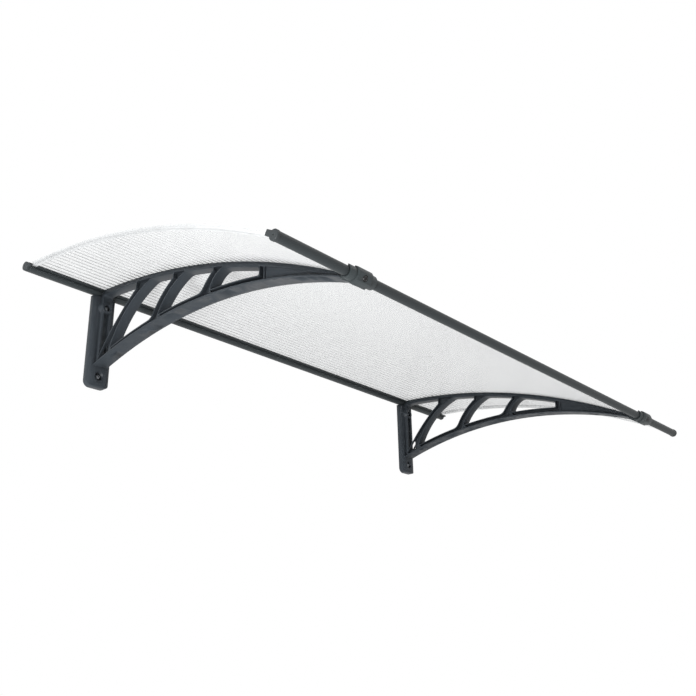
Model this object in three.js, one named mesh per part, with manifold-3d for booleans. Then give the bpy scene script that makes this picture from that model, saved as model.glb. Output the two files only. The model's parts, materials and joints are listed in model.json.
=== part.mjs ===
// A door canopy: a curved fluted sheet between a wall bar and a front bar, carried by two
// moulded truss brackets. Millimetres. The wall is the plane Y = 0 and the canopy reaches out
// along -Y, X runs along the wall, and Z is up. Sections lie in the plane of Y and Z: in a
// Vector2 of a section, x is the part's Y and y is its Z.

import * as THREE from "three";
import { mergeVertices } from "three/addons/utils/BufferGeometryUtils.js";
import Module from "manifold-3d";

const wasm = await Module();
wasm.setup();

// Overall sizes
const PROJECTION = 772.7; // from the wall to the front bar's axis
const DROP = 212.7; // from the rear bar's axis down to the front bar's
const SHEET_LENGTH = 1500; // along the wall
const BRACKET_SPACING = 1122.4; // between the middle planes of the brackets
const FIT = 0.3; // between pieces that touch

// Sheet: two skins joined by ribs, curved across the ribs
const SHEET_RADIUS = 1720.7; // of the underside
const SHEET_THICKNESS = 4.5;
const SKIN = 0.8;
const RIB = 0.9;
const RIB_PITCH = 15.3;
const SHEET_TO_TUBE = 1.2; // from the front bar's tube to the sheet's edge

// Edge trims: a channel pushed onto each end of the sheet
const TRIM_WALL = 1.5;
const TRIM_LIP = 9;
const TRIM_TO_TUBE = 0.5; // from a bar's tube to the trim's end

// Bars: a tube with two lips that grip the sheet's edge
const BAR_OVERHANG = 5; // past each end of the sheet
const TUBE_WALL = 1.6;
const LIP = 2.2;
const LIP_REACH = 17.5; // from the tube's axis to the ends of the lips
const REAR_TUBE = 9.3; // radius
const REAR_STANDOFF = 10.9; // from the wall to the rear bar's axis
const REAR_AXIS_HEIGHT = 3.6;
const REAR_SHEET_RISE = 3.9; // from the rear bar's axis up to the sheet's underside
const REAR_LOWER_LIP = 3.1;
const REAR_GROOVE_BACK = -4; // from the rear bar's axis, as the lips' reach is
const REAR_UPPER_LIP = 1.5;
const REAR_UPPER_LIP_BACK = -6;
const REAR_UPPER_LIP_REACH = 3;
const REAR_BORE_TOP = 2; // above the axis
const FOOT_DEPTH = 2.2; // flat strip that lies on the wall
const FOOT_HALF_HEIGHT = 6;
const FRONT_TUBE = 9.3; // radius
const FRONT_SHEET_RISE = -1.2;

// End caps
const CAP_RADIUS = 10.15;
const CAP_LENGTH = 7.6;
const FRONT_CAP_BORDER = 0.7; // above and below the lips
const FRONT_CAP_REACH = 20.5; // from the tube's axis, as the lips' reach is
const REAR_CAP_REACH = 17.5;
const REAR_CAP_NOSE = [-1.5, 1.9]; // the lower and upper corners of its nose
const REAR_CAP_ROOT = [-3, 4]; // where the nose leaves the round
const CAP_CHAMFER = 1.3;
const CAP_PLUG = 12; // depth in the tube
const CAP_HOLE = 1.3; // radius
const CAP_HOLE_DEPTH = 5;

// Bracket: a truss between a chord under the sheet and an arch, on a leg at the wall
const TRUSS_HALF = 12;
const CHORD_DEPTH = 11.3;
const CHORD_BAND = 8.5; // flush band above the pockets' heads
const ARCH_RADIUS = 1097.7;
const ARCH_FOOT_FRONT = 15; // the arch's foot, from the wall
const ARCH_FOOT_DROP = 175.6; // and below the origin
const ARCH_UNDER_BAR = 7.6; // below the front bar's axis
const ARCH_DEPTH = 14.8;
const FLANGE = 2.6;
const FLANGE_HALF = 18;
const FLANGE_TIP_GAP = 28; // from the front bar's axis back to the end of the flange
const RIM = 2.6; // around the pockets
const POCKET_DEPTH = 9.5;
const FRONT_POCKET_DEPTH = 3;
const TIP_GAP = 9.5; // from the front bar's axis back to the end of the arm

// Struts, in distances from the wall: where each edge leaves the arch and meets the chord.
// head is where the pocket's top turns up into the chord, and gusset is where the pocket of
// the window behind the strut starts.
const STRUTS = [
  {
    rear: { foot: 23.5, top: 165, radius: 529 },
    front: { foot: 66.3, top: 202.1, radius: 213.4 },
    head: 150,
    gusset: 25,
  },
  {
    rear: { foot: 210, top: 289.1, radius: 180.7 },
    front: { foot: 233.2, top: 317, radius: 144.1 },
    head: 280,
    gusset: 79,
  },
  {
    rear: { foot: 370.4, top: 409.5, radius: 123.7 },
    front: { foot: 398.8, top: 435, radius: 46 },
    head: 407.5,
    gusset: 248,
  },
];
const LAST_GUSSET = 408.5;
const GUSSET_SLANT = 10;
const LAST_WINDOW_END = 539;
const LAST_POCKET_WIDTH = 10;

// Leg
const LEG_HALF = 28.8;
const LEG_DEPTH = 18.5;
const LEG_EDGE_DEPTH = 9.5; // of the flat sides
const LEG_BOTTOM = -222.5;
const LEG_CORNER = 15;
const LEG_CHIN = 6;
const FIN_FRONT = 26; // from the wall
const FIN = 5.5;
const FIN_GAP_DEPTH = 5;
const BOSS_BASE = 20.5; // radius at the leg's edge depth
const BOSS_TOP = 12.5; // radius
const BOSS_FRONT = 27;
const BOSS_WELL = 7.4; // radius
const UPPER_SCREW_HEIGHT = -34.8;
const UPPER_SEAT = 19.2; // from the wall
const LOWER_SCREW_HEIGHT = -197;
const LOWER_SEAT = 10.6;
const LOWER_WELL = 7.4; // radius at the seat
const LOWER_MOUTH = 10.5; // radius at the leg's front

// Screws
const SCREW_HOLE = 3.1; // radius
const SCREW_SHANK = 2.6; // radius
const SCREW_HEAD = 5.6; // radius
const SCREW_HEAD_HEIGHT = 3.5;
const SCREW_SLOT = 1.1; // width
const SCREW_SLOT_SPAN = 6;
const SCREW_SLOT_DEPTH = 1.5;

// Front clamp: a cover over the bar and the arm's end, with a sleeve to each side
const CLAMP_HALF = 17.5;
const SLEEVE_HALF = 33.5;
const SLEEVE_WALL = 3.3;
const CLAMP_FRONT = 16.5; // from the bar's axis to the screw's face
const CLAMP_SCREW_WELL = 5.9; // radius
const CLAMP_WELL_DEPTH = 2.6;
const CLAMP_SCREW_GRIP = 0.5; // of the screw's end past the bar's far wall

// Facets: the most that a curve may stand off its chord
const SAGITTA = 0.1;

// Colours and finishes
const bracketPlastic = new THREE.MeshStandardMaterial({ color: 0x40444c, roughness: 0.5, metalness: 0 });
const clampPlastic = new THREE.MeshStandardMaterial({ color: 0x4c5252, roughness: 0.5, metalness: 0 });
const capPlastic = new THREE.MeshStandardMaterial({ color: 0x55595b, roughness: 0.55, metalness: 0 });
const barPaint = new THREE.MeshStandardMaterial({ color: 0x42494b, roughness: 0.4, metalness: 0.3 });
const clearSheet = new THREE.MeshStandardMaterial({
  color: 0xe8ecee,
  roughness: 0.15,
  metalness: 0,
  transparent: true,
  opacity: 0.45,
});
const clearTrim = new THREE.MeshStandardMaterial({
  color: 0xeef0f1,
  roughness: 0.25,
  metalness: 0,
  transparent: true,
  opacity: 0.6,
});
const zincSteel = new THREE.MeshStandardMaterial({ color: 0xc9ccce, roughness: 0.3, metalness: 1 });

const point = (y, z) => new THREE.Vector2(y, z);
const circle = (centre, radius) => ({ centre, radius });
const grown = (round, by) => circle(round.centre, round.radius + by);

// A geometry as a solid that can be joined and cut.
function solid(geometry) {
  const bare = geometry.index ? geometry : geometry.clone();
  bare.deleteAttribute("normal");
  bare.deleteAttribute("uv");
  const merged = mergeVertices(bare, 1e-4);
  return new wasm.Manifold(
    new wasm.Mesh({
      numProp: 3,
      vertProperties: new Float32Array(merged.attributes.position.array),
      triVerts: new Uint32Array(merged.index.array),
    }),
  );
}

const joined = (solids) => solids.reduce((sum, next) => sum.add(next));

// A section in the plane of Y and Z, from one X to another.
function alongX(outline, fromX, toX, options = {}) {
  const bevel = options.bevelThickness ?? 0;
  const geometry = new THREE.ExtrudeGeometry(new THREE.Shape(outline), {
    depth: toX - fromX - 2 * bevel,
    bevelEnabled: bevel > 0,
    ...options,
  });
  const basis = new THREE.Matrix4().makeBasis(
    new THREE.Vector3(0, 1, 0),
    new THREE.Vector3(0, 0, 1),
    new THREE.Vector3(1, 0, 0),
  );
  return solid(geometry.applyMatrix4(basis).translate(fromX + bevel, 0, 0));
}

// A round bar or cone from one point to another, with its radius at each.
function rod(from, to, fromRadius, toRadius = fromRadius) {
  const axis = to.clone().sub(from);
  const length = axis.length();
  const turns = Math.max(20, stepsFor(Math.max(fromRadius, toRadius), 2 * Math.PI));
  const geometry = new THREE.CylinderGeometry(toRadius, fromRadius, length, turns);
  const turn = new THREE.Quaternion().setFromUnitVectors(
    new THREE.Vector3(0, 1, 0),
    axis.normalize(),
  );
  geometry.translate(0, length / 2, 0).applyQuaternion(turn);
  return solid(geometry.translate(from.x, from.y, from.z));
}

function stepsFor(radius, angle) {
  return Math.max(2, Math.ceil((radius * angle) / Math.sqrt(8 * SAGITTA * radius)));
}

// The shorter arc of a circle between two points on it.
function arc(round, from, to) {
  const start = from.clone().sub(round.centre).angle();
  const end = to.clone().sub(round.centre).angle();
  const sweep = Math.atan2(Math.sin(end - start), Math.cos(end - start));
  return sector(round, start, start + sweep);
}

// The points of a circle from one angle to another.
function sector(round, start, end) {
  const steps = stepsFor(round.radius, Math.abs(end - start));
  return Array.from({ length: steps + 1 }, (_, i) => {
    const angle = start + ((end - start) * i) / steps;
    return onCircle(round, angle);
  });
}

function onCircle(round, angle) {
  const { centre, radius } = round;
  return point(centre.x + radius * Math.cos(angle), centre.y + radius * Math.sin(angle));
}

// The upper point of a circle at a distance from the wall.
function above(round, distance) {
  const across = -distance - round.centre.x;
  return point(-distance, round.centre.y + Math.sqrt(round.radius ** 2 - across ** 2));
}

// The two points where circles cross, the one nearer the wall first.
function crossings(a, b) {
  const between = b.centre.clone().sub(a.centre);
  const apart = between.length();
  const along = (a.radius ** 2 - b.radius ** 2 + apart ** 2) / (2 * apart);
  const half = Math.sqrt(a.radius ** 2 - along ** 2);
  const unit = between.normalize();
  const side = point(-unit.y, unit.x);
  return [half, -half]
    .map((h) => a.centre.clone().addScaledVector(unit, along).addScaledVector(side, h))
    .sort((p, q) => q.x - p.x);
}

// The centre below two points of a circle that passes at its own distance from each.
function centreBelow(a, aRadius, b, bRadius) {
  return crossings(circle(a, aRadius), circle(b, bRadius)).sort((p, q) => p.y - q.y)[0];
}

// An outline of sides that meet end to end. reaches[i] is how far the corner at the end of
// side i is rounded along both of its sides.
function outlineOf(sides, reaches) {
  const count = sides.length;
  const cut = sides.map((side, i) => {
    const before = reaches[(i + count - 1) % count];
    return trimmed(trimmed(side, before).reverse(), reaches[i]).reverse();
  });
  return cut.flatMap((side, i) => {
    const next = cut[(i + 1) % count];
    if (!reaches[i]) return side.slice(0, -1);
    const corner = sides[i][sides[i].length - 1];
    const bend = new THREE.QuadraticBezierCurve(side[side.length - 1], corner, next[0]);
    return [...side.slice(0, -1), ...bend.getPoints(4).slice(0, -1)];
  });
}

// A line of points with a length taken off its start.
function trimmed(line, length) {
  let left = length;
  let i = 0;
  while (left > line[i].distanceTo(line[i + 1])) {
    left -= line[i].distanceTo(line[i + 1]);
    i += 1;
  }
  const step = line[i].distanceTo(line[i + 1]);
  return [line[i].clone().lerp(line[i + 1], left / step), ...line.slice(i + 1)];
}

// Axes of the bars, the sheet's arc and the arch, all from the driving dimensions.
const rearAxis = point(-REAR_STANDOFF, REAR_AXIS_HEIGHT);
const frontAxis = point(-PROJECTION, REAR_AXIS_HEIGHT - DROP);
const sheetCentre = centreBelow(
  rearAxis,
  SHEET_RADIUS - REAR_SHEET_RISE,
  frontAxis,
  SHEET_RADIUS - FRONT_SHEET_RISE,
);
const underside = circle(sheetCentre, SHEET_RADIUS);
const rearAngle = rearAxis.clone().sub(sheetCentre).angle();
const frontAngle = frontAxis.clone().sub(sheetCentre).angle();
const archFoot = point(-ARCH_FOOT_FRONT, -ARCH_FOOT_DROP);
const archEnd = point(frontAxis.x, frontAxis.y - ARCH_UNDER_BAR);
const arch = circle(centreBelow(archFoot, ARCH_RADIUS, archEnd, ARCH_RADIUS), ARCH_RADIUS);

// Places a point of a bar's own section: along runs from the axis towards the sheet, and up
// points out of the sheet's arc.
function barPlace(axis, angle, towards) {
  const tangent = point(-Math.sin(angle), Math.cos(angle)).multiplyScalar(towards);
  const normal = point(Math.cos(angle), Math.sin(angle));
  return (along, up) => axis.clone().addScaledVector(tangent, along).addScaledVector(normal, up);
}
const rearPlace = barPlace(rearAxis, rearAngle, 1);
const frontPlace = barPlace(frontAxis, frontAngle, -1);

const boxOutline = (place, alongFrom, alongTo, upFrom, upTo) => [
  place(alongFrom, upFrom),
  place(alongTo, upFrom),
  place(alongTo, upTo),
  place(alongFrom, upTo),
];

const REAR = {
  axis: rearAxis,
  place: rearPlace,
  tube: REAR_TUBE,
  rise: REAR_SHEET_RISE,
  lowerLip: REAR_LOWER_LIP,
  boreTop: REAR_BORE_TOP,
};
const FRONT = {
  axis: frontAxis,
  place: frontPlace,
  tube: FRONT_TUBE,
  rise: FRONT_SHEET_RISE,
  lowerLip: LIP,
  boreTop: FRONT_TUBE,
};

// The levels of a bar's slot and lips, measured up from its axis.
function lipLevels(bar) {
  const slotBottom = bar.rise - FIT;
  const slotTop = bar.rise + SHEET_THICKNESS + FIT;
  return { slotBottom, slotTop, bottom: slotBottom - bar.lowerLip };
}

// The room that a bar takes up in its neighbours, with the fit all round. It is open upwards,
// because the sheet lies there.
function barRoom(bar, halfLength) {
  const { bottom } = lipLevels(bar);
  const high = 60;
  const tube = sector(circle(bar.axis, bar.tube + FIT), 0, 2 * Math.PI).slice(1);
  const lips = boxOutline(bar.place, 0, LIP_REACH + FIT, bottom - FIT, high);
  return alongX(tube, -halfLength, halfLength).add(alongX(lips, -halfLength, halfLength));
}

// A round section of a bar, and a box of its section, along its whole length.
const barRound = (bar, radius, half) =>
  alongX(sector(circle(bar.axis, radius), 0, 2 * Math.PI).slice(1), -half, half);
const barBox = (bar, half, ...limits) => alongX(boxOutline(bar.place, ...limits), -half, half);

// What the lips lose at both ends, where the trims run on to the tube.
function trimNotches(bar) {
  const from = SHEET_LENGTH / 2 - TRIM_LIP - FIT;
  const to = SHEET_LENGTH / 2 + BAR_OVERHANG + 1;
  const box = boxOutline(bar.place, bar.tube, LIP_REACH + 1, -bar.tube - 1, bar.tube + 1);
  return alongX(box, from, to).add(alongX(box, -to, -from));
}

// The rear bar: the sheet lies on a ledge and runs back into a groove cut in the tube's top.
function makeRearBar() {
  const half = SHEET_LENGTH / 2 + BAR_OVERHANG;
  const past = half + 1;
  const { slotBottom, slotTop, bottom } = lipLevels(REAR);
  const lipTop = slotTop + REAR_UPPER_LIP;
  const foot = [
    point(0, rearAxis.y - FOOT_HALF_HEIGHT),
    point(0, rearAxis.y + FOOT_HALF_HEIGHT),
    point(-FOOT_DEPTH, rearAxis.y + FOOT_HALF_HEIGHT),
    point(-FOOT_DEPTH, rearAxis.y - FOOT_HALF_HEIGHT),
  ];
  const upperLip = barBox(REAR, half, REAR_UPPER_LIP_BACK, REAR_UPPER_LIP_REACH, 0, lipTop);
  const flatTop = barBox(REAR, past, -REAR_TUBE, REAR_TUBE, REAR_BORE_TOP, REAR_TUBE);
  return barRound(REAR, REAR_TUBE, half)
    .add(barBox(REAR, half, 0, LIP_REACH, bottom, slotBottom))
    .add(upperLip)
    .add(alongX(foot, -half, half))
    .subtract(barRound(REAR, REAR_TUBE - TUBE_WALL, past).subtract(flatTop))
    .subtract(barBox(REAR, past, REAR_GROOVE_BACK, LIP_REACH + 1, slotBottom, slotTop))
    .subtract(trimNotches(REAR));
}

// The clamp's screw runs through the front bar along the sheet's slope.
function clampAxisPoint(x, forward) {
  const at = frontPlace(-forward, 0);
  return new THREE.Vector3(x, at.x, at.y);
}

// The front bar: two lips beside the tube grip the sheet's edge.
function makeFrontBar() {
  const half = SHEET_LENGTH / 2 + BAR_OVERHANG;
  const past = half + 1;
  const { slotBottom, slotTop, bottom } = lipLevels(FRONT);
  const slotBack = FRONT_TUBE + SHEET_TO_TUBE - FIT;
  const bar = barRound(FRONT, FRONT_TUBE, half)
    .add(barBox(FRONT, half, 0, LIP_REACH, bottom, slotTop + LIP))
    .subtract(barRound(FRONT, FRONT_TUBE - TUBE_WALL, past))
    .subtract(barBox(FRONT, past, slotBack, LIP_REACH + 1, slotBottom, slotTop))
    .subtract(trimNotches(FRONT));
  const holes = [-1, 1].map((side) => {
    const x = (side * BRACKET_SPACING) / 2;
    return rod(clampAxisPoint(x, FRONT_TUBE + 1), clampAxisPoint(x, -FRONT_TUBE - 1), SCREW_HOLE);
  });
  return bar.subtract(joined(holes));
}

// The noses of the end caps: where each leaves the round, its own corners and its reach.
const rearNose = { root: REAR_CAP_ROOT, corners: REAR_CAP_NOSE, reach: REAR_CAP_REACH };
const frontNoseCorners = [
  lipLevels(FRONT).bottom - FRONT_CAP_BORDER,
  lipLevels(FRONT).slotTop + LIP + FRONT_CAP_BORDER,
];
const frontNose = { root: frontNoseCorners, corners: frontNoseCorners, reach: FRONT_CAP_REACH };

// An end cap: a chamfered head, round with a nose along the lips, and a plug in the bar's bore.
// side is -1 at the left end and 1 at the right.
function makeCap(bar, nose, side) {
  const [down, rise] = nose.root.map((up) => Math.asin(up / CAP_RADIUS));
  const [low, high] = nose.corners;
  const placed = [
    ...sector(circle(point(0, 0), CAP_RADIUS), rise, down + 2 * Math.PI),
    point(nose.reach, low),
    point(nose.reach, high),
  ].map((corner) => bar.place(corner.x, corner.y));
  const end = SHEET_LENGTH / 2 + BAR_OVERHANG;
  const at = (from, to) => (side > 0 ? [from, to] : [-to, -from]);
  const head = alongX(placed, ...at(end, end + CAP_LENGTH), {
    bevelThickness: CAP_CHAMFER,
    bevelSize: CAP_CHAMFER,
    bevelOffset: -CAP_CHAMFER,
    bevelSegments: 2,
  });
  const plugRound = circle(bar.axis, bar.tube - TUBE_WALL - FIT);
  const flatTop = boxOutline(bar.place, -bar.tube, bar.tube, bar.boreTop - FIT, bar.tube);
  const plug = alongX(sector(plugRound, 0, 2 * Math.PI).slice(1), ...at(end - CAP_PLUG, end + CAP_LENGTH / 2))
    .subtract(alongX(flatTop, ...at(end - CAP_PLUG - 1, end)));
  const outer = new THREE.Vector3(side * (end + CAP_LENGTH + 1), bar.axis.x, bar.axis.y);
  const inner = outer.clone().setX(side * (end + CAP_LENGTH - CAP_HOLE_DEPTH));
  return head
    .add(plug)
    .subtract(rod(outer, inner, CAP_HOLE));
}

// The sheet's section: two skins and a rib at every pitch, evenly spread from edge to edge.
function makeSheet() {
  const start = rearAngle + (REAR_GROOVE_BACK + 2 * FIT) / SHEET_RADIUS;
  const end = frontAngle - (FRONT_TUBE + SHEET_TO_TUBE) / SHEET_RADIUS;
  const flutes = Math.floor(((end - start) * SHEET_RADIUS) / RIB_PITCH);
  const top = grown(underside, SHEET_THICKNESS);
  const borders = Array.from({ length: flutes + 1 }, (_, i) => start + ((end - start) * i) / flutes);
  const along = (round) => borders.map((angle) => onCircle(round, angle));
  const half = SHEET_LENGTH / 2;
  const plate = alongX([...along(underside), ...along(top).reverse()], -half, half);
  const low = grown(underside, SKIN);
  const high = grown(underside, SHEET_THICKNESS - SKIN);
  const halfRib = RIB / 2 / SHEET_RADIUS;
  const channels = borders.slice(0, -1).map((from, i) => {
    const near = from + (i === 0 ? 2 * halfRib : halfRib);
    const far = borders[i + 1] - (i === flutes - 1 ? 2 * halfRib : halfRib);
    const corners = [onCircle(low, near), onCircle(low, far), onCircle(high, far), onCircle(high, near)];
    return alongX(corners, -half - 1, half + 1);
  });
  return plate.subtract(joined(channels));
}

// A ring sector between two radii of the sheet's arc, as an outline.
function sheetBand(lowRadius, highRadius, start, end) {
  return [
    ...sector(circle(sheetCentre, lowRadius), start, end),
    ...sector(circle(sheetCentre, highRadius), end, start),
  ];
}

function makeTrim(side) {
  const start = rearAngle + (REAR_TUBE + TRIM_TO_TUBE) / SHEET_RADIUS;
  const end = frontAngle - (FRONT_TUBE + TRIM_TO_TUBE) / SHEET_RADIUS;
  const inner = SHEET_RADIUS - FIT;
  const outer = SHEET_RADIUS + SHEET_THICKNESS + FIT;
  const edge = SHEET_LENGTH / 2;
  const at = (from, to) => (side > 0 ? [from, to] : [-to, -from]);
  const body = alongX(
    sheetBand(inner - TRIM_WALL, outer + TRIM_WALL, start, end),
    ...at(edge - TRIM_LIP, edge + FIT + TRIM_WALL),
  );
  const past = 1 / SHEET_RADIUS;
  const room = sheetBand(inner, outer, start - past, end + past);
  return body.subtract(alongX(room, ...at(edge - TRIM_LIP - 1, edge + FIT)));
}

// The truss's curves
const chordTop = grown(underside, -FIT);
const chordBottom = grown(chordTop, -CHORD_DEPTH);
const pocketTop = grown(chordTop, -CHORD_BAND);
const archTop = grown(arch, ARCH_DEPTH);
const pocketRim = grown(archTop, -RIM);
const flangeTop = grown(arch, FLANGE);

// A strut's edge: an arc from the arch up to the chord that bulges up and towards the wall.
function strutEdge({ foot, top, radius }) {
  const low = above(archTop, foot);
  const high = above(chordBottom, top);
  return { round: circle(centreBelow(low, radius, high, radius), radius), low, high };
}
const struts = STRUTS.map((strut) => ({
  ...strut,
  rear: strutEdge(strut.rear),
  front: strutEdge(strut.front),
}));

// The window behind each strut, and the last one in front of the last strut. Each ends in a
// short upright side, with a rim between it and the head of the pocket in front.
function windowOutlines() {
  return [...struts, null].map((strut, i) => {
    const behind = struts[i - 1];
    const end = strut ? strut.head - RIM : LAST_WINDOW_END;
    const lowRear = behind ? behind.front.low : above(strut.rear.round, FIN_FRONT);
    const highRear = behind ? behind.front.high : above(chordBottom, FIN_FRONT);
    const lowFront = strut ? strut.rear.low : above(archTop, end);
    const highFront = above(chordBottom, end);
    const turn = strut ? above(strut.rear.round, end) : lowFront;
    const sides = [
      arc(strut ? strut.rear.round : archTop, strut && behind ? lowFront : lowRear, turn),
      [turn, highFront],
      arc(chordBottom, highFront, highRear),
      behind ? arc(behind.front.round, highRear, lowRear) : [highRear, lowRear],
    ];
    if (strut && behind) return outlineOf([arc(archTop, lowRear, lowFront), ...sides], [14, 1.5, 1.5, 7, 4]);
    return outlineOf(sides, strut ? [3, 2, 8, 2] : [5, 5, 7, 4]);
  });
}

// The pocket under each window, which turns up into the strut in front of it.
function strutPocket(strut, i) {
  const rearRound = grown(strut.rear.round, -RIM);
  const frontRound = grown(strut.front.round, RIM);
  const footFront = crossings(frontRound, flangeTop)[0];
  const topFront = crossings(frontRound, pocketTop)[0];
  const start = above(flangeTop, strut.gusset);
  const topRear = above(pocketTop, strut.head);
  const turn = above(rearRound, strut.head);
  const sides = [
    arc(flangeTop, start, footFront),
    arc(frontRound, footFront, topFront),
    arc(pocketTop, topFront, topRear),
    [topRear, turn],
  ];
  if (i === 0) {
    const end = above(rearRound, strut.gusset);
    return outlineOf([...sides, arc(rearRound, turn, end), [end, start]], [3, 3, 3, 3, 2, 2]);
  }
  const inner = crossings(rearRound, pocketRim)[0];
  const end = above(pocketRim, strut.gusset - GUSSET_SLANT);
  return outlineOf(
    [...sides, arc(rearRound, turn, inner), arc(pocketRim, inner, end), [end, start]],
    [3, 3, 3, 3, 9, 2, 2],
  );
}

// The last pocket turns up at the end of the last window.
function lastPocket() {
  const near = LAST_WINDOW_END + RIM;
  const far = near + LAST_POCKET_WIDTH;
  const start = above(flangeTop, LAST_GUSSET);
  const end = above(pocketRim, LAST_GUSSET - GUSSET_SLANT);
  const inner = above(pocketRim, near);
  const sides = [
    arc(flangeTop, start, above(flangeTop, far)),
    [above(flangeTop, far), above(pocketTop, far)],
    arc(pocketTop, above(pocketTop, far), above(pocketTop, near)),
    [above(pocketTop, near), inner],
    arc(pocketRim, inner, end),
    [end, start],
  ];
  return outlineOf(sides, [6, 3, 2, 4, 2, 2]);
}

// The shallow pocket in front of the last window, which tapers off towards the arm's end.
function frontPocket() {
  const near = LAST_WINDOW_END + LAST_POCKET_WIDTH + 2 * RIM;
  const tip = crossings(pocketTop, flangeTop)[0];
  const low = above(flangeTop, near);
  const high = above(pocketTop, near);
  const sides = [arc(flangeTop, low, tip), arc(pocketTop, tip, high), [high, low]];
  return outlineOf(sides, [8, 3, 3]);
}

// A pocket in both faces of the truss.
function pocketPair(outline, depth) {
  const past = 1;
  const floor = TRUSS_HALF - depth;
  return alongX(outline, floor, TRUSS_HALF + past).add(
    alongX(outline, -TRUSS_HALF - past, -floor),
  );
}

function trussBody(half, bottomRound) {
  const tip = PROJECTION - TIP_GAP;
  const rear = 2;
  const outline = outlineOf(
    [
      arc(bottomRound, above(bottomRound, rear), above(bottomRound, tip)),
      [above(bottomRound, tip), above(chordTop, tip)],
      arc(chordTop, above(chordTop, tip), above(chordTop, rear)),
      [above(chordTop, rear), above(bottomRound, rear)],
    ],
    [0, 0, 0, 0],
  );
  return alongX(outline, -half, half);
}

// The arch's wider flange, from the leg to the clamp.
function flangeBody() {
  const tip = PROJECTION - FLANGE_TIP_GAP;
  const outline = [
    ...arc(arch, above(arch, ARCH_FOOT_FRONT / 2), above(arch, tip)),
    ...arc(flangeTop, above(flangeTop, tip), above(flangeTop, ARCH_FOOT_FRONT / 2)),
  ];
  return alongX(outline, -FLANGE_HALF, FLANGE_HALF);
}

// The leg: a flat back on the wall, a crowned front, and rounded lower corners.
function legBody() {
  const top = rearAxis.y - REAR_TUBE - FIT;
  const plan = new THREE.Shape();
  plan.moveTo(-LEG_HALF, 0);
  plan.lineTo(-LEG_HALF, -LEG_EDGE_DEPTH);
  plan.absellipse(0, -LEG_EDGE_DEPTH, LEG_HALF, LEG_DEPTH - LEG_EDGE_DEPTH, Math.PI, 2 * Math.PI, false);
  plan.lineTo(LEG_HALF, 0);
  const column = new THREE.ExtrudeGeometry(plan, {
    depth: top - LEG_BOTTOM,
    bevelEnabled: false,
    curveSegments: 10,
  }).translate(0, 0, LEG_BOTTOM);

  const face = new THREE.Shape();
  face.moveTo(-LEG_HALF - 1, top + 1);
  face.lineTo(-LEG_HALF - 1, LEG_BOTTOM + LEG_CORNER);
  face.lineTo(-LEG_HALF, LEG_BOTTOM + LEG_CORNER);
  face.absarc(-LEG_HALF + LEG_CORNER, LEG_BOTTOM + LEG_CORNER, LEG_CORNER, Math.PI, 1.5 * Math.PI, false);
  face.absarc(LEG_HALF - LEG_CORNER, LEG_BOTTOM + LEG_CORNER, LEG_CORNER, 1.5 * Math.PI, 2 * Math.PI, false);
  face.lineTo(LEG_HALF + 1, LEG_BOTTOM + LEG_CORNER);
  face.lineTo(LEG_HALF + 1, top + 1);
  const faceBasis = new THREE.Matrix4().makeBasis(
    new THREE.Vector3(1, 0, 0),
    new THREE.Vector3(0, 0, 1),
    new THREE.Vector3(0, -1, 0),
  );
  const front = new THREE.ExtrudeGeometry(face, {
    depth: LEG_DEPTH + 2,
    bevelEnabled: false,
    curveSegments: 6,
  })
    .translate(0, 0, -1)
    .applyMatrix4(faceBasis);

  const chin = circle(point(-LEG_DEPTH + LEG_CHIN, LEG_BOTTOM + LEG_CHIN), LEG_CHIN);
  const side = [
    point(1, LEG_BOTTOM),
    point(1, top + 1),
    point(-LEG_DEPTH - 1, top + 1),
    point(-LEG_DEPTH - 1, LEG_BOTTOM + LEG_CHIN),
    ...sector(chin, Math.PI, 1.5 * Math.PI),
  ];
  return solid(column)
    .intersect(solid(front))
    .intersect(alongX(side, -LEG_HALF - 2, LEG_HALF + 2));
}

const outFromWall = (height, distance) => new THREE.Vector3(0, -distance, height);

// The raised cone around the upper screw, and what the screws need cut away.
function upperBoss() {
  return rod(
    outFromWall(UPPER_SCREW_HEIGHT, LEG_EDGE_DEPTH),
    outFromWall(UPPER_SCREW_HEIGHT, BOSS_FRONT),
    BOSS_BASE,
    BOSS_TOP,
  );
}

function screwRooms() {
  const past = 1;
  const hole = (height) => rod(outFromWall(height, -past), outFromWall(height, FIN_FRONT), SCREW_HOLE);
  const upperWell = rod(
    outFromWall(UPPER_SCREW_HEIGHT, UPPER_SEAT),
    outFromWall(UPPER_SCREW_HEIGHT, BOSS_FRONT + past),
    BOSS_WELL,
  );
  const slope = (LOWER_MOUTH - LOWER_WELL) / (LEG_DEPTH - LOWER_SEAT);
  const lowerWell = rod(
    outFromWall(LOWER_SCREW_HEIGHT, LOWER_SEAT),
    outFromWall(LOWER_SCREW_HEIGHT, LEG_DEPTH + past),
    LOWER_WELL,
    LOWER_MOUTH + slope * past,
  );
  return joined([hole(UPPER_SCREW_HEIGHT), hole(LOWER_SCREW_HEIGHT), upperWell, lowerWell]);
}

// The gap between the two fins that stiffen the leg below the boss.
function finGap() {
  const half = TRUSS_HALF - FIN;
  const top = UPPER_SCREW_HEIGHT - BOSS_TOP;
  const bottom = above(struts[0].rear.round, FIN_FRONT).y + RIM;
  const geometry = new THREE.BoxGeometry(2 * half, FIN_FRONT, top - bottom);
  const middle = FIN_FRONT - FIN_GAP_DEPTH + FIN_FRONT / 2;
  return solid(geometry.translate(0, -middle, (top + bottom) / 2));
}

// Above the leg nothing stands behind the rear bar's axis.
function wallRoom() {
  const low = rearAxis.y - REAR_TUBE - FIT;
  const outline = [point(1, low), point(1, 60), point(rearAxis.x, 60), point(rearAxis.x, low)];
  return alongX(outline, -LEG_HALF, LEG_HALF);
}

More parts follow.
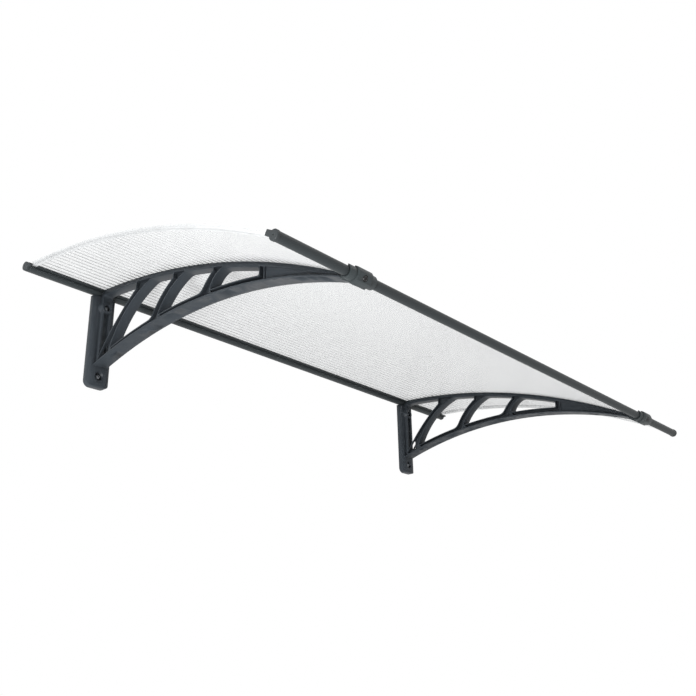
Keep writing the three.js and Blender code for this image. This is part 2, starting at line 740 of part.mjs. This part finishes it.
function makeBracket() {
  const windows = windowOutlines().map((outline) => alongX(outline, -TRUSS_HALF - 1, TRUSS_HALF + 1));
  const pockets = [
    ...struts.map(strutPocket).map((outline) => pocketPair(outline, POCKET_DEPTH)),
    pocketPair(lastPocket(), POCKET_DEPTH),
    pocketPair(frontPocket(), FRONT_POCKET_DEPTH),
  ];
  return trussBody(TRUSS_HALF, arch)
    .subtract(joined(windows))
    .subtract(joined(pockets))
    .subtract(finGap())
    .add(flangeBody())
    .add(legBody())
    .add(upperBoss())
    .subtract(screwRooms())
    .subtract(barRoom(REAR, LEG_HALF))
    .subtract(barRoom(FRONT, LEG_HALF))
    .subtract(wallRoom());
}

// The clamp's outline in the front bar's own section: forward is away from the sheet.
function clampOutline() {
  const corners = [
    [-4, 13.3],
    [2, 15.2],
    [9, 14.6],
    [CLAMP_FRONT - 2.5, 11],
    [CLAMP_FRONT, 6.6],
    [CLAMP_FRONT, -7.6],
    [CLAMP_FRONT - 4, -12],
    [7.5, -14.4],
    [5.5, -16.6],
    [2.5, -16.4],
    [0.5, -14.8],
    [-12, -14.6],
    [-24, -13.6],
    [-24, -3],
    [-4, -3],
  ];
  return corners.map(([forward, up]) => frontPlace(-forward, up));
}

function makeClamp() {
  const sleeveOuter = circle(frontAxis, FRONT_TUBE + FIT + SLEEVE_WALL);
  const slope = frontAngle - Math.PI / 2;
  const wrap = sector(sleeveOuter, slope + Math.PI * 0.44, slope + Math.PI * 1.7);
  const sleeve = [...wrap, frontAxis];
  const past = 1;
  const armHalf = TRUSS_HALF + FIT;
  const well = rod(
    clampAxisPoint(0, CLAMP_FRONT - CLAMP_WELL_DEPTH),
    clampAxisPoint(0, CLAMP_FRONT + past),
    CLAMP_SCREW_WELL,
  );
  const hole = rod(clampAxisPoint(0, 0), clampAxisPoint(0, CLAMP_FRONT), SCREW_HOLE);
  return alongX(clampOutline(), -CLAMP_HALF, CLAMP_HALF)
    .add(alongX(sleeve, -SLEEVE_HALF, SLEEVE_HALF))
    .subtract(barRoom(FRONT, SLEEVE_HALF + past))
    .subtract(trussBody(armHalf, grown(arch, -FIT)))
    .subtract(well)
    .subtract(hole);
}

// A pan-head screw along a line, with its seat at a point and a cross recess.
function makeScrew(seat, outward, length) {
  const profile = [
    point(0, -length),
    point(SCREW_SHANK * 0.4, -length),
    point(SCREW_SHANK, -length + 3),
    point(SCREW_SHANK, 0),
    point(SCREW_HEAD, 0),
    point(SCREW_HEAD, SCREW_HEAD_HEIGHT * 0.45),
    point(SCREW_HEAD * 0.86, SCREW_HEAD_HEIGHT * 0.8),
    point(SCREW_HEAD * 0.55, SCREW_HEAD_HEIGHT),
    point(0, SCREW_HEAD_HEIGHT),
  ];
  const body = solid(new THREE.LatheGeometry(profile, 20));
  const deep = SCREW_HEAD_HEIGHT - SCREW_SLOT_DEPTH / 2 + 0.5;
  const arm = (wide, long) =>
    solid(new THREE.BoxGeometry(wide, SCREW_SLOT_DEPTH + 1, long).translate(0, deep, 0));
  const cross = arm(SCREW_SLOT, SCREW_SLOT_SPAN).add(arm(SCREW_SLOT_SPAN, SCREW_SLOT));
  const turn = new THREE.Quaternion().setFromUnitVectors(new THREE.Vector3(0, 1, 0), outward);
  const place = new THREE.Matrix4().compose(seat, turn, new THREE.Vector3(1, 1, 1));
  return body.subtract(cross).transform(place.elements);
}

const canopy = new THREE.Group();

// A solid as a named mesh of the canopy, moved along X.
function addPiece(name, made, material, x = 0) {
  const mesh = made.getMesh();
  const geometry = new THREE.BufferGeometry();
  geometry.setAttribute("position", new THREE.BufferAttribute(mesh.vertProperties, 3));
  geometry.setIndex(new THREE.BufferAttribute(mesh.triVerts, 1));
  geometry.computeVertexNormals();
  const piece = new THREE.Mesh(geometry, material);
  piece.name = name;
  piece.position.x = x;
  canopy.add(piece);
}

addPiece("sheet", makeSheet(), clearSheet);
addPiece("rear_bar", makeRearBar(), barPaint);
addPiece("front_bar", makeFrontBar(), barPaint);

const bracket = makeBracket();
const clamp = makeClamp();
const forward = point(0, 0).sub(frontPlace(1, 0).sub(frontAxis));
const clampSeat = CLAMP_FRONT - CLAMP_WELL_DEPTH + 0.05;
const clampScrewLength = clampSeat + FRONT_TUBE + CLAMP_SCREW_GRIP;
for (const [side, label] of [
  [-1, "left"],
  [1, "right"],
]) {
  const x = (side * BRACKET_SPACING) / 2;
  addPiece(`bracket_${label}`, bracket, bracketPlastic, x);
  addPiece(`front_clamp_${label}`, clamp, clampPlastic, x);
  for (const [height, seat, place] of [
    [UPPER_SCREW_HEIGHT, UPPER_SEAT, "upper"],
    [LOWER_SCREW_HEIGHT, LOWER_SEAT, "lower"],
  ]) {
    const screw = makeScrew(outFromWall(height, seat + 0.05), new THREE.Vector3(0, -1, 0), seat - 1);
    addPiece(`wall_screw_${place}_${label}`, screw, zincSteel, x);
  }
  const clampScrew = makeScrew(
    clampAxisPoint(0, clampSeat),
    new THREE.Vector3(0, forward.x, forward.y),
    clampScrewLength,
  );
  addPiece(`clamp_screw_${label}`, clampScrew, zincSteel, x);
  addPiece(`edge_trim_${label}`, makeTrim(side), clearTrim);
  addPiece(`rear_end_cap_${label}`, makeCap(REAR, rearNose, side), capPlastic);
  addPiece(`front_end_cap_${label}`, makeCap(FRONT, frontNose, side), capPlastic);
}

export default canopy;
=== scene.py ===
"""A door canopy: a clear ribbed sheet between two bars on moulded brackets, in metres."""

import json
import math

import bmesh
import bpy
from mathutils import Matrix, Vector

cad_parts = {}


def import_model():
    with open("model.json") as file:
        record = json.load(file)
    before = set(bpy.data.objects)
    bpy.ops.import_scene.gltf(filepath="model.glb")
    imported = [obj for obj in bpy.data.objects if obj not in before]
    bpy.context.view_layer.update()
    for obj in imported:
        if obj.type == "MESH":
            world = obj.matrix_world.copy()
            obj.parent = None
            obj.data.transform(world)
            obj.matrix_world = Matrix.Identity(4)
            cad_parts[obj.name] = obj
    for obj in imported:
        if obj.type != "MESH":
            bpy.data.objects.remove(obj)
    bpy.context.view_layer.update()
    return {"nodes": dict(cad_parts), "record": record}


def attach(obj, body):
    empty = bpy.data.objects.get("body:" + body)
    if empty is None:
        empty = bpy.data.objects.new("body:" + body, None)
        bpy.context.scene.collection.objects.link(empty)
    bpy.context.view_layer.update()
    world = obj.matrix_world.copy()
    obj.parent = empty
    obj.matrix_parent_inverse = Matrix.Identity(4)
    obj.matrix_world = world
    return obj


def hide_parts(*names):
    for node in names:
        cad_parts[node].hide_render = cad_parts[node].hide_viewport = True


SIDES = ("left", "right")

# The camera, solved from the perspective of the picture to match
CAMERA_PLACE = (-1.5924, -1.6359, -0.8722)
CAMERA_RIGHT = (0.6589, -0.7520, -0.0182)
CAMERA_DOWN = (0.2668, 0.2562, -0.9290)
CAMERA_LENS = 45.83
SENSOR_WIDTH = 36.0
CAMERA_REACH = 200.0

# The studio: each lamp has its place, what it points at, its width and its power in watts
SURROUND_LEVEL = 0.45
LAMPS = {
    "low_left": ((-2.2, -0.8, -1.4), (-0.4, -0.3, -0.1), 0.8, 70),
    "high_front": ((0.5, -3.0, 3.0), (0, -0.4, 0), 2.5, 50),
}
FLOOR_HEIGHT = -2.3
FLOOR_HALF = 40
FLOOR_COLOUR = (0.8, 0.8, 0.8, 1)
WHITE = (1, 1, 1, 1)

# The sheet: places in its section are (Y, Z)
SHEET_LENGTH = 1.5
SHEET_RADIUS = 1.7207
SHEET_THICKNESS = 0.0045
SHEET_SKIN = 0.0008
SHEET_RIB = 0.0009
RIB_PITCH = 0.0153
RIB_GAP = 0.00003
TRIM_LIP = 0.009
REAR_AXIS = (-0.0109, 0.0036)
REAR_RISE = 0.0039
REAR_EDGE = -0.0034
FRONT_AXIS = (-0.7727, -0.2091)
FRONT_RISE = -0.0012
FRONT_EDGE = 0.0105

# The rib lines: their half widths in shares of a pitch, how strong they are square on and at a
# glance, how uneven, and how much they hide of what lies behind
LINE_CORE = 0.06
LINE_EDGE = 0.3
LINE_STRENGTH = (1.25, -1.6)
LINE_UNEVEN = (0.7, 1.3)
LINE_HIDES = 0.6

# The clear skins: what they hide square on and at a glance, and the painted shade next to a bracket,
# which stands in for the bracket's shadow and reflection in the sheet
SHEET_HIDES = (0.03, 0.2)
SHEET_ROUGHNESS = 0.4
CONTACT_REACH = 0.06
CONTACT_OPEN = (0.6, 0.9)
PAINTED_CONTACT_SHADE = 0.35

# The painted shade in the recesses of a moulding, over how open they are
RECESS_REACH = 0.04
RECESS_OPEN = (0.35, 0.95)
AIR_SAMPLES = 8

# How a finish varies with its mottle, and how plastic bends light
MOTTLE_TINT = 0.06
MOTTLE_ROUGHNESS = 0.05
PLASTIC_IOR = 1.5

# How far the edges of the mouldings are rounded, and the angles that count as edges, in degrees
BRACKET_ROUND = 0.0011
CLAMP_ROUND = 0.0008
CAP_ROUND = 0.0005
ROUND_SEGMENTS = 2
SAME_POINT = 1e-6
FLAT_ANGLE = 0.5
ROUND_ANGLE = 35
SHARP_ANGLE = 40

# Colours as they are seen, from 0 to 255
ANTHRACITE = (50, 55, 60)
CLAMP_GREY = (52, 58, 60)
CAP_GREY = (48, 52, 54)
BAR_GREY = (45, 50, 52)
SCREW_BLACK = (14, 15, 17)
ZINC = (120, 123, 127)
CLEAR = (238, 240, 241)
# The rib lines' colour, which is also the colour of the painted shade next to the brackets
LINE_SHADE = (24, 26, 29)


def linear(colour):
    """A seen colour as the renderer's own four numbers."""
    parts = [part / 255 for part in colour]
    return [(p / 12.92 if p <= 0.04045 else ((p + 0.055) / 1.055) ** 2.4) for p in parts] + [1.0]


class Nodes:
    """Adds and joins the nodes of one tree."""

    def __init__(self, tree):
        self.tree = tree
        self.tree.nodes.clear()

    def add(self, kind, values=None, **settings):
        node = self.tree.nodes.new(kind)
        for name, value in settings.items():
            setattr(node, name, value)
        for name, value in (values or {}).items():
            self.put(node.inputs[name], value)
        return node

    def put(self, socket, value):
        if isinstance(value, bpy.types.NodeSocket):
            self.tree.links.new(value, socket)
        else:
            socket.default_value = value

    def math(self, operation, *values, **settings):
        node = self.add("ShaderNodeMath", dict(enumerate(values)), operation=operation, **settings)
        return node.outputs[0]

    def spread(self, value, low, high, start=0.0, end=1.0, **settings):
        """A number that runs from low to high while the value runs from start to end."""
        ends = {"From Min": start, "From Max": end, "To Min": low, "To Max": high}
        return self.add("ShaderNodeMapRange", {"Value": value, **ends}, **settings).outputs["Result"]

    def mix(self, share, first, second):
        values = {"Factor": share, "A": first, "B": second}
        return self.add("ShaderNodeMix", values, data_type="RGBA").outputs["Result"]

    def glance(self):
        """How far a face is seen from the side."""
        return self.add("ShaderNodeFresnel", {"IOR": PLASTIC_IOR}).outputs[0]

    def open_air(self, reach):
        """How open the space above a face is within a reach."""
        values = {"Distance": reach}
        return self.add("ShaderNodeAmbientOcclusion", values, samples=AIR_SAMPLES).outputs["AO"]

    def grain(self, group, sizes):
        """The outputs of a grain group with its sizes set."""
        node = self.add("ShaderNodeGroup", node_tree=group)
        for name, value in sizes.items():
            node.inputs[name].default_value = value
        return node.outputs

    def surface(self, height, values):
        """A Principled surface with a bump height, as the material's output."""
        bump = self.add("ShaderNodeBump", {"Height": height, "Strength": 1.0, "Distance": 1.0})
        shader = self.add("ShaderNodeBsdfPrincipled", {**values, "Normal": bump.outputs["Normal"]})
        self.add("ShaderNodeOutputMaterial", {"Surface": shader.outputs["BSDF"]})


def grain_group():
    """Fine moulded grain over slow waves: a mask for colour and gloss, and a height."""
    tree = bpy.data.node_groups.new("moulded_grain", "ShaderNodeTree")
    inputs = {"Grain Size": 0.0006, "Grain Height": 0.00001, "Wave Size": 0.05, "Wave Height": 0.00002}
    for name, value in inputs.items():
        socket = tree.interface.new_socket(name, in_out="INPUT", socket_type="NodeSocketFloat")
        socket.default_value = value
    for name in ("Mottle", "Height"):
        tree.interface.new_socket(name, in_out="OUTPUT", socket_type="NodeSocketFloat")
    nodes = Nodes(tree)
    given = nodes.add("NodeGroupInput").outputs
    place = nodes.add("ShaderNodeTexCoord").outputs["Object"]

    def noise(size, detail):
        scale = nodes.math("DIVIDE", 1.0, size)
        values = {"Vector": place, "Scale": scale, "Detail": detail, "Roughness": 0.55}
        return nodes.add("ShaderNodeTexNoise", values).outputs["Fac"]

    grain = noise(given["Grain Size"], 2.0)
    wave = noise(given["Wave Size"], 3.0)
    grain_height = nodes.math("MULTIPLY", grain, given["Grain Height"])
    wave_height = nodes.math("MULTIPLY", wave, given["Wave Height"])
    height = nodes.math("ADD", grain_height, wave_height)
    nodes.add("NodeGroupOutput", {"Mottle": wave, "Height": height})
    return tree


def new_material(name):
    material = bpy.data.materials.new(name)
    material.use_nodes = True
    return material, Nodes(material.node_tree)


def moulded(name, colour, grain, sizes, roughness, metallic=0.0, specular=0.5, clear=None, painted_recess_shade=None):
    """A moulded or coated finish with a fine grain. A clear one is given how much it hides of what
    lies behind it, seen square on and at a glance; one with a recess shade gets painted shade in its
    colour where it is shut in."""
    material, nodes = new_material(name)
    skin = nodes.grain(grain, sizes)
    dark = linear([part * (1 - MOTTLE_TINT) for part in colour])
    light = linear([part * (1 + MOTTLE_TINT) for part in colour])
    tint = nodes.mix(skin["Mottle"], dark, light)
    # Painted shade: the colour is darkened where ambient occlusion finds the face shut in, as shade in
    # recesses
    if painted_recess_shade:
        shade = nodes.spread(nodes.open_air(RECESS_REACH), painted_recess_shade, 1.0, *RECESS_OPEN)
        tint = nodes.mix(shade, (0, 0, 0, 1), tint)
    gloss = (roughness - MOTTLE_ROUGHNESS, roughness + MOTTLE_ROUGHNESS)
    values = {
        "Base Color": tint,
        "Roughness": nodes.spread(skin["Mottle"], *gloss),
        "Metallic": metallic,
        "Specular IOR Level": specular,
        "Alpha": nodes.spread(nodes.glance(), *clear) if clear else 1.0,
    }
    nodes.surface(skin["Height"], values)
    return material


def ribbed_skin(name, grain, sizes, pitch):
    """The sheet's skins: clear, with a line on the underside where a rib stands against it, and painted
    shade on the underside next to the brackets.
    """
    material, nodes = new_material(name)
    skin = nodes.grain(grain, sizes)
    glance = nodes.glance()
    flat = nodes.add("ShaderNodeAttribute", attribute_name="flat_place").outputs["Vector"]
    place = nodes.add("ShaderNodeSeparateXYZ", {"Vector": flat}).outputs
    below = nodes.math("LESS_THAN", place["Z"], SHEET_SKIN / 2)
    free = nodes.math("LESS_THAN", nodes.math("ABSOLUTE", place["X"]), SHEET_LENGTH / 2 - TRIM_LIP)

    count = nodes.math("DIVIDE", place["Y"], pitch)
    away = nodes.math("ABSOLUTE", nodes.math("SUBTRACT", count, nodes.math("ROUND", count)))
    line = nodes.spread(away, 1.0, 0.0, LINE_CORE, LINE_EDGE, interpolation_type="SMOOTHSTEP")
    bare = nodes.math("MULTIPLY", line, nodes.math("MULTIPLY", free, below))

    # Painted shade and painted reflection: next to the brackets the underside is darkened and its rib
    # lines drawn darker, where ambient occlusion finds it shut in
    closed = nodes.spread(nodes.open_air(CONTACT_REACH), 1.0, 0.0, *CONTACT_OPEN)
    contact = nodes.math("MULTIPLY", closed, below)
    uneven = nodes.spread(skin["Mottle"], *LINE_UNEVEN)
    fading = nodes.math("MULTIPLY", nodes.spread(glance, *LINE_STRENGTH), uneven)
    drawn = nodes.math("MULTIPLY", bare, nodes.math("ADD", fading, contact), use_clamp=True)
    dark = nodes.math("MAXIMUM", drawn, nodes.math("MULTIPLY", contact, PAINTED_CONTACT_SHADE))

    hidden = nodes.spread(glance, *SHEET_HIDES)
    values = {
        "Base Color": nodes.mix(dark, linear(CLEAR), linear(LINE_SHADE)),
        "Roughness": SHEET_ROUGHNESS,
        "Alpha": nodes.math("ADD", hidden, nodes.math("MULTIPLY", dark, LINE_HIDES), use_clamp=True),
    }
    nodes.surface(skin["Height"], values)
    return material


def make_materials(pitch):
    grain = grain_group()
    plastic = {"Grain Size": 0.0005, "Grain Height": 0.00003, "Wave Size": 0.04, "Wave Height": 0.00005}
    paint = {"Grain Size": 0.0012, "Grain Height": 0.00002, "Wave Size": 0.1, "Wave Height": 0.0}
    smooth = {"Grain Size": 0.004, "Grain Height": 0.0, "Wave Size": 0.06, "Wave Height": 0.00004}
    finishes = {
        # Bracket, clamp and bar finishes get painted shade in their recesses, darkest by the given
        # share where fully shut in
        "bracket_plastic": (ANTHRACITE, plastic, {"roughness": 0.45, "specular": 0.18, "painted_recess_shade": 0.45}),
        "clamp_plastic": (CLAMP_GREY, plastic, {"roughness": 0.45, "specular": 0.3, "painted_recess_shade": 0.5}),
        "cap_plastic": (CAP_GREY, plastic, {"roughness": 0.5, "specular": 0.3}),
        "bar_paint": (BAR_GREY, paint, {"roughness": 0.5, "specular": 0.3, "painted_recess_shade": 0.4}),
        "zinc_steel": (ZINC, paint, {"roughness": 0.3, "metallic": 1.0}),
        "clamp_screw_steel": (SCREW_BLACK, paint, {"roughness": 0.35}),
        "sheet_rib": (CLEAR, smooth, {"roughness": 0.5, "clear": (0.06, 0.12)}),
        "clear_trim": (CLEAR, smooth, {"roughness": 0.3, "clear": (0.2, 0.5)}),
    }
    materials = {"clear_sheet": ribbed_skin("clear_sheet", grain, smooth, pitch)}
    for name, (colour, sizes, finish) in finishes.items():
        materials[name] = moulded(name, colour, grain, sizes, **finish)
    return materials


def sheet_arc():
    """The centre of the sheet's underside and the angles of its rear and front edges."""
    rear = Vector(REAR_AXIS)
    front = Vector(FRONT_AXIS)
    rear_reach = SHEET_RADIUS - REAR_RISE
    front_reach = SHEET_RADIUS - FRONT_RISE
    line = front - rear
    apart = line.length
    along = (rear_reach**2 - front_reach**2 + apart**2) / (2 * apart)
    drop = math.sqrt(rear_reach**2 - along**2)
    line.normalize()
    below = Vector((-line.y, line.x))
    centre = rear + line * along + below * drop
    rear_angle = math.atan2(rear.y - centre.y, rear.x - centre.x)
    front_angle = math.atan2(front.y - centre.y, front.x - centre.x)
    return centre, rear_angle + REAR_EDGE / SHEET_RADIUS, front_angle - FRONT_EDGE / SHEET_RADIUS


def ribbed_sheet_group():
    """Two skins with a rib at every pitch, laid out flat and then bent round the X axis."""
    tree = bpy.data.node_groups.new("ribbed_sheet", "GeometryNodeTree")
    sizes = ("Length", "Run", "Thickness", "Skin", "Rib", "Gap", "Radius")
    places = ("Start Angle", "Centre Y", "Centre Z")
    inputs = {
        "NodeSocketGeometry": ("Geometry",),
        "NodeSocketFloat": sizes + places,
        "NodeSocketInt": ("Ribs", "Steps"),
        "NodeSocketMaterial": ("Skin Material", "Rib Material"),
    }
    for kind, names in inputs.items():
        for name in names:
            tree.interface.new_socket(name, in_out="INPUT", socket_type=kind)
    tree.interface.new_socket("Geometry", in_out="OUTPUT", socket_type="NodeSocketGeometry")
    nodes = Nodes(tree)
    given = nodes.add("NodeGroupInput").outputs

    def vector(x=0.0, y=0.0, z=0.0):
        return nodes.add("ShaderNodeCombineXYZ", {"X": x, "Y": y, "Z": z}).outputs[0]

    def moved(geometry, place):
        values = {"Geometry": geometry, "Translation": place}
        return nodes.add("GeometryNodeTransform", values).outputs[0]

    def painted(geometry, material):
        values = {"Geometry": geometry, "Material": material}
        return nodes.add("GeometryNodeSetMaterial", values).outputs[0]

    def joined(*pieces):
        join = nodes.add("GeometryNodeJoinGeometry")
        for piece in pieces:
            tree.links.new(piece, join.inputs[0])
        return join.outputs[0]

    half_run = nodes.math("MULTIPLY", given["Run"], 0.5)
    half_skin = nodes.math("MULTIPLY", given["Skin"], 0.5)
    skin = nodes.add(
        "GeometryNodeMeshCube",
        {"Size": vector(given["Length"], given["Run"], given["Skin"]), "Vertices Y": given["Steps"]},
    ).outputs["Mesh"]
    low = moved(skin, vector(y=half_run, z=half_skin))
    high = moved(skin, vector(y=half_run, z=nodes.math("SUBTRACT", given["Thickness"], half_skin)))
    skins = joined(low, high)

    walls = nodes.math("MULTIPLY", nodes.math("ADD", given["Skin"], given["Gap"]), 2.0)
    rib_size = vector(given["Length"], given["Rib"], nodes.math("SUBTRACT", given["Thickness"], walls))
    rib = nodes.add("GeometryNodeMeshCube", {"Size": rib_size}).outputs["Mesh"]
    spaces = nodes.math("SUBTRACT", given["Ribs"], 1.0)
    step = nodes.math("DIVIDE", nodes.math("SUBTRACT", given["Run"], given["Rib"]), spaces)
    half_rib = nodes.math("MULTIPLY", given["Rib"], 0.5)
    first = vector(y=half_rib, z=nodes.math("MULTIPLY", given["Thickness"], 0.5))
    row = {"Count": given["Ribs"], "Start Location": first, "Offset": vector(y=step)}
    line = nodes.add("GeometryNodeMeshLine", row)
    copies = nodes.add("GeometryNodeInstanceOnPoints", {"Points": line.outputs[0], "Instance": rib})
    ribs = nodes.add("GeometryNodeRealizeInstances", {"Geometry": copies.outputs[0]}).outputs[0]

    whole = joined(painted(skins, given["Skin Material"]), painted(ribs, given["Rib Material"]))
    flat = nodes.add("GeometryNodeInputPosition").outputs[0]
    kept = nodes.add(
        "GeometryNodeStoreNamedAttribute",
        {"Geometry": whole, "Name": "flat_place", "Value": flat},
        data_type="FLOAT_VECTOR",
        domain="POINT",
    ).outputs[0]
    parts = nodes.add("ShaderNodeSeparateXYZ", {"Vector": flat}).outputs
    angle = nodes.math("ADD", given["Start Angle"], nodes.math("DIVIDE", parts["Y"], given["Radius"]))
    reach = nodes.math("ADD", given["Radius"], parts["Z"])
    out = nodes.math("MULTIPLY", reach, nodes.math("COSINE", angle))
    up = nodes.math("MULTIPLY", reach, nodes.math("SINE", angle))
    bent = vector(
        parts["X"],
        nodes.math("ADD", given["Centre Y"], out),
        nodes.math("ADD", given["Centre Z"], up),
    )
    placed = nodes.add("GeometryNodeSetPosition", {"Geometry": kept, "Position": bent}).outputs[0]
    # The bend mirrors the flat layout, so the faces are turned to point outwards again
    outward = nodes.add("GeometryNodeFlipFaces", {"Mesh": placed}).outputs[0]
    nodes.add("NodeGroupOutput", {"Geometry": outward})
    return tree


def new_object(name, mesh):
    thing = bpy.data.objects.new(name, mesh)
    bpy.context.scene.collection.objects.link(thing)
    return thing


def make_plain(thing):
    """Turns what an object's modifiers make into its own mesh."""
    evaluated = thing.evaluated_get(bpy.context.evaluated_depsgraph_get())
    mesh = bpy.data.meshes.new_from_object(evaluated)
    thing.modifiers.clear()
    thing.data = mesh


def made_by(name, group, values):
    """An object with the mesh that a node group makes from its named inputs."""
    thing = new_object(name, bpy.data.meshes.new(name))
    modifier = thing.modifiers.new(group.name, "NODES")
    modifier.node_group = group
    for item in group.interface.items_tree:
        if item.in_out == "INPUT" and item.name in values:
            modifier[item.identifier] = values[item.name]
    thing.update_tag()
    make_plain(thing)
    return thing


def take_over(piece, node):
    """Puts a finished piece in the place of a node of the frame."""
    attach(piece, "root")
    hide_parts(node.name)


def sheet_run():
    """The sheet's length round its arc and its number of flutes."""
    _, start, end = sheet_arc()
    run = (end - start) * SHEET_RADIUS
    return run, math.floor(run / RIB_PITCH)


def drop_empty_slots(mesh):
    """Keeps the materials in use, with the faces pointed at their new places."""
    kept = [place for place, material in enumerate(mesh.materials) if material]
    materials = [mesh.materials[place] for place in kept]
    places = [kept.index(face.material_index) for face in mesh.polygons]
    mesh.materials.clear()
    for material in materials:
        mesh.materials.append(material)
    mesh.polygons.foreach_set("material_index", places)


def make_sheet(materials, node):
    centre, start, _ = sheet_arc()
    run, flutes = sheet_run()
    values = {
        "Length": SHEET_LENGTH,
        "Run": run,
        "Thickness": SHEET_THICKNESS,
        "Skin": SHEET_SKIN,
        "Rib": SHEET_RIB,
        "Gap": RIB_GAP,
        "Radius": SHEET_RADIUS,
        "Start Angle": start,
        "Centre Y": centre.x,
        "Centre Z": centre.y,
        "Ribs": flutes + 1,
        "Steps": flutes + 1,
        "Skin Material": materials["clear_sheet"],
        "Rib Material": materials["sheet_rib"],
    }
    sheet = made_by("sheet_ribbed", ribbed_sheet_group(), values)
    drop_empty_slots(sheet.data)
    take_over(sheet, node)


def make_rounded(node, width, material):
    """A merged copy of a moulding with its edges rounded, in place of the plain one."""
    edit = bmesh.new()
    edit.from_mesh(node.data)
    bmesh.ops.remove_doubles(edit, verts=edit.verts, dist=SAME_POINT)
    flat = math.radians(FLAT_ANGLE)
    bmesh.ops.dissolve_limit(edit, angle_limit=flat, verts=edit.verts, edges=edit.edges)
    name = f"{node.name}_rounded"
    mesh = bpy.data.meshes.new(name)
    edit.to_mesh(mesh)
    edit.free()
    copy = new_object(name, mesh)
    bevel = copy.modifiers.new("round_edges", "BEVEL")
    bevel.width = width
    bevel.segments = ROUND_SEGMENTS
    bevel.limit_method = "ANGLE"
    bevel.angle_limit = math.radians(ROUND_ANGLE)
    make_plain(copy)
    copy.data.materials.clear()
    copy.data.materials.append(material)
    copy.data.shade_smooth()
    copy.data.set_sharp_from_angle(angle=math.radians(SHARP_ANGLE))
    take_over(copy, node)


def make_camera():
    """The camera's own axes come from the solved right and down directions."""
    right = Vector(CAMERA_RIGHT).normalized()
    down = Vector(CAMERA_DOWN)
    down = (down - right * down.dot(right)).normalized()
    forward = right.cross(down)
    turn = Matrix([right, -down, -forward]).transposed()
    data = bpy.data.cameras.new("camera")
    data.lens = CAMERA_LENS
    data.sensor_width = SENSOR_WIDTH
    data.clip_end = CAMERA_REACH
    camera = new_object("camera", data)
    camera.matrix_world = Matrix.Translation(CAMERA_PLACE) @ turn.to_4x4()
    bpy.context.scene.camera = camera


def make_world():
    """An even surround, plain white where it is seen, seen through or mirrored."""
    world = bpy.data.worlds.new("studio")
    bpy.context.scene.world = world
    world.use_nodes = True
    nodes = Nodes(world.node_tree)
    path = nodes.add("ShaderNodeLightPath").outputs
    through = nodes.math("MAXIMUM", path["Is Camera Ray"], path["Is Transmission Ray"])
    seen = nodes.math("MAXIMUM", through, path["Is Glossy Ray"])
    level = nodes.spread(seen, SURROUND_LEVEL, 1.0)
    background = nodes.add("ShaderNodeBackground", {"Color": WHITE, "Strength": level})
    nodes.add("ShaderNodeOutputWorld", {"Surface": background.outputs[0]})


def make_lamp(name, place, target, size, power):
    data = bpy.data.lights.new(name, "AREA")
    data.shape = "DISK"
    data.size = size
    data.energy = power
    lamp = new_object(name, data)
    aim = Vector(target) - Vector(place)
    lamp.matrix_world = Matrix.Translation(place) @ aim.to_track_quat("-Z", "Y").to_matrix().to_4x4()


def make_floor():
    """A pale floor that is plain white in mirrored light."""
    mesh = bpy.data.meshes.new("floor")
    signs = ((-1, -1), (1, -1), (1, 1), (-1, 1))
    corners = [(x * FLOOR_HALF, y * FLOOR_HALF, FLOOR_HEIGHT) for x, y in signs]
    mesh.from_pydata(corners, [], [(0, 1, 2, 3)])
    floor = new_object("floor", mesh)
    material, nodes = new_material("pale_floor")
    plain = nodes.add("ShaderNodeBsdfDiffuse", {"Color": FLOOR_COLOUR})
    white = nodes.add("ShaderNodeEmission", {"Color": WHITE, "Strength": 1.0})
    path = nodes.add("ShaderNodeLightPath").outputs
    mixed = nodes.add("ShaderNodeMixShader", {"Fac": path["Is Glossy Ray"]})
    nodes.put(mixed.inputs[1], plain.outputs[0])
    nodes.put(mixed.inputs[2], white.outputs[0])
    nodes.add("ShaderNodeOutputMaterial", {"Surface": mixed.outputs[0]})
    mesh.materials.append(material)


def main():
    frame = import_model()
    bpy.context.scene.view_settings.view_transform = "Standard"
    run, flutes = sheet_run()
    materials = make_materials(run / flutes)
    slots = {part["node"]: part["material_slot"] for part in frame["record"]["subparts"]}
    for name, node in frame["nodes"].items():
        node.data.materials.clear()
        node.data.materials.append(materials[slots[name]])
    make_sheet(materials, frame["nodes"]["sheet"])
    rounded = {
        "bracket": BRACKET_ROUND,
        "front_clamp": CLAMP_ROUND,
        "rear_end_cap": CAP_ROUND,
        "front_end_cap": CAP_ROUND,
    }
    for side in SIDES:
        for kind, width in rounded.items():
            name = f"{kind}_{side}"
            make_rounded(frame["nodes"][name], width, materials[slots[name]])
    make_camera()
    make_world()
    for name, lamp in LAMPS.items():
        make_lamp(name, *lamp)
    make_floor()


main()
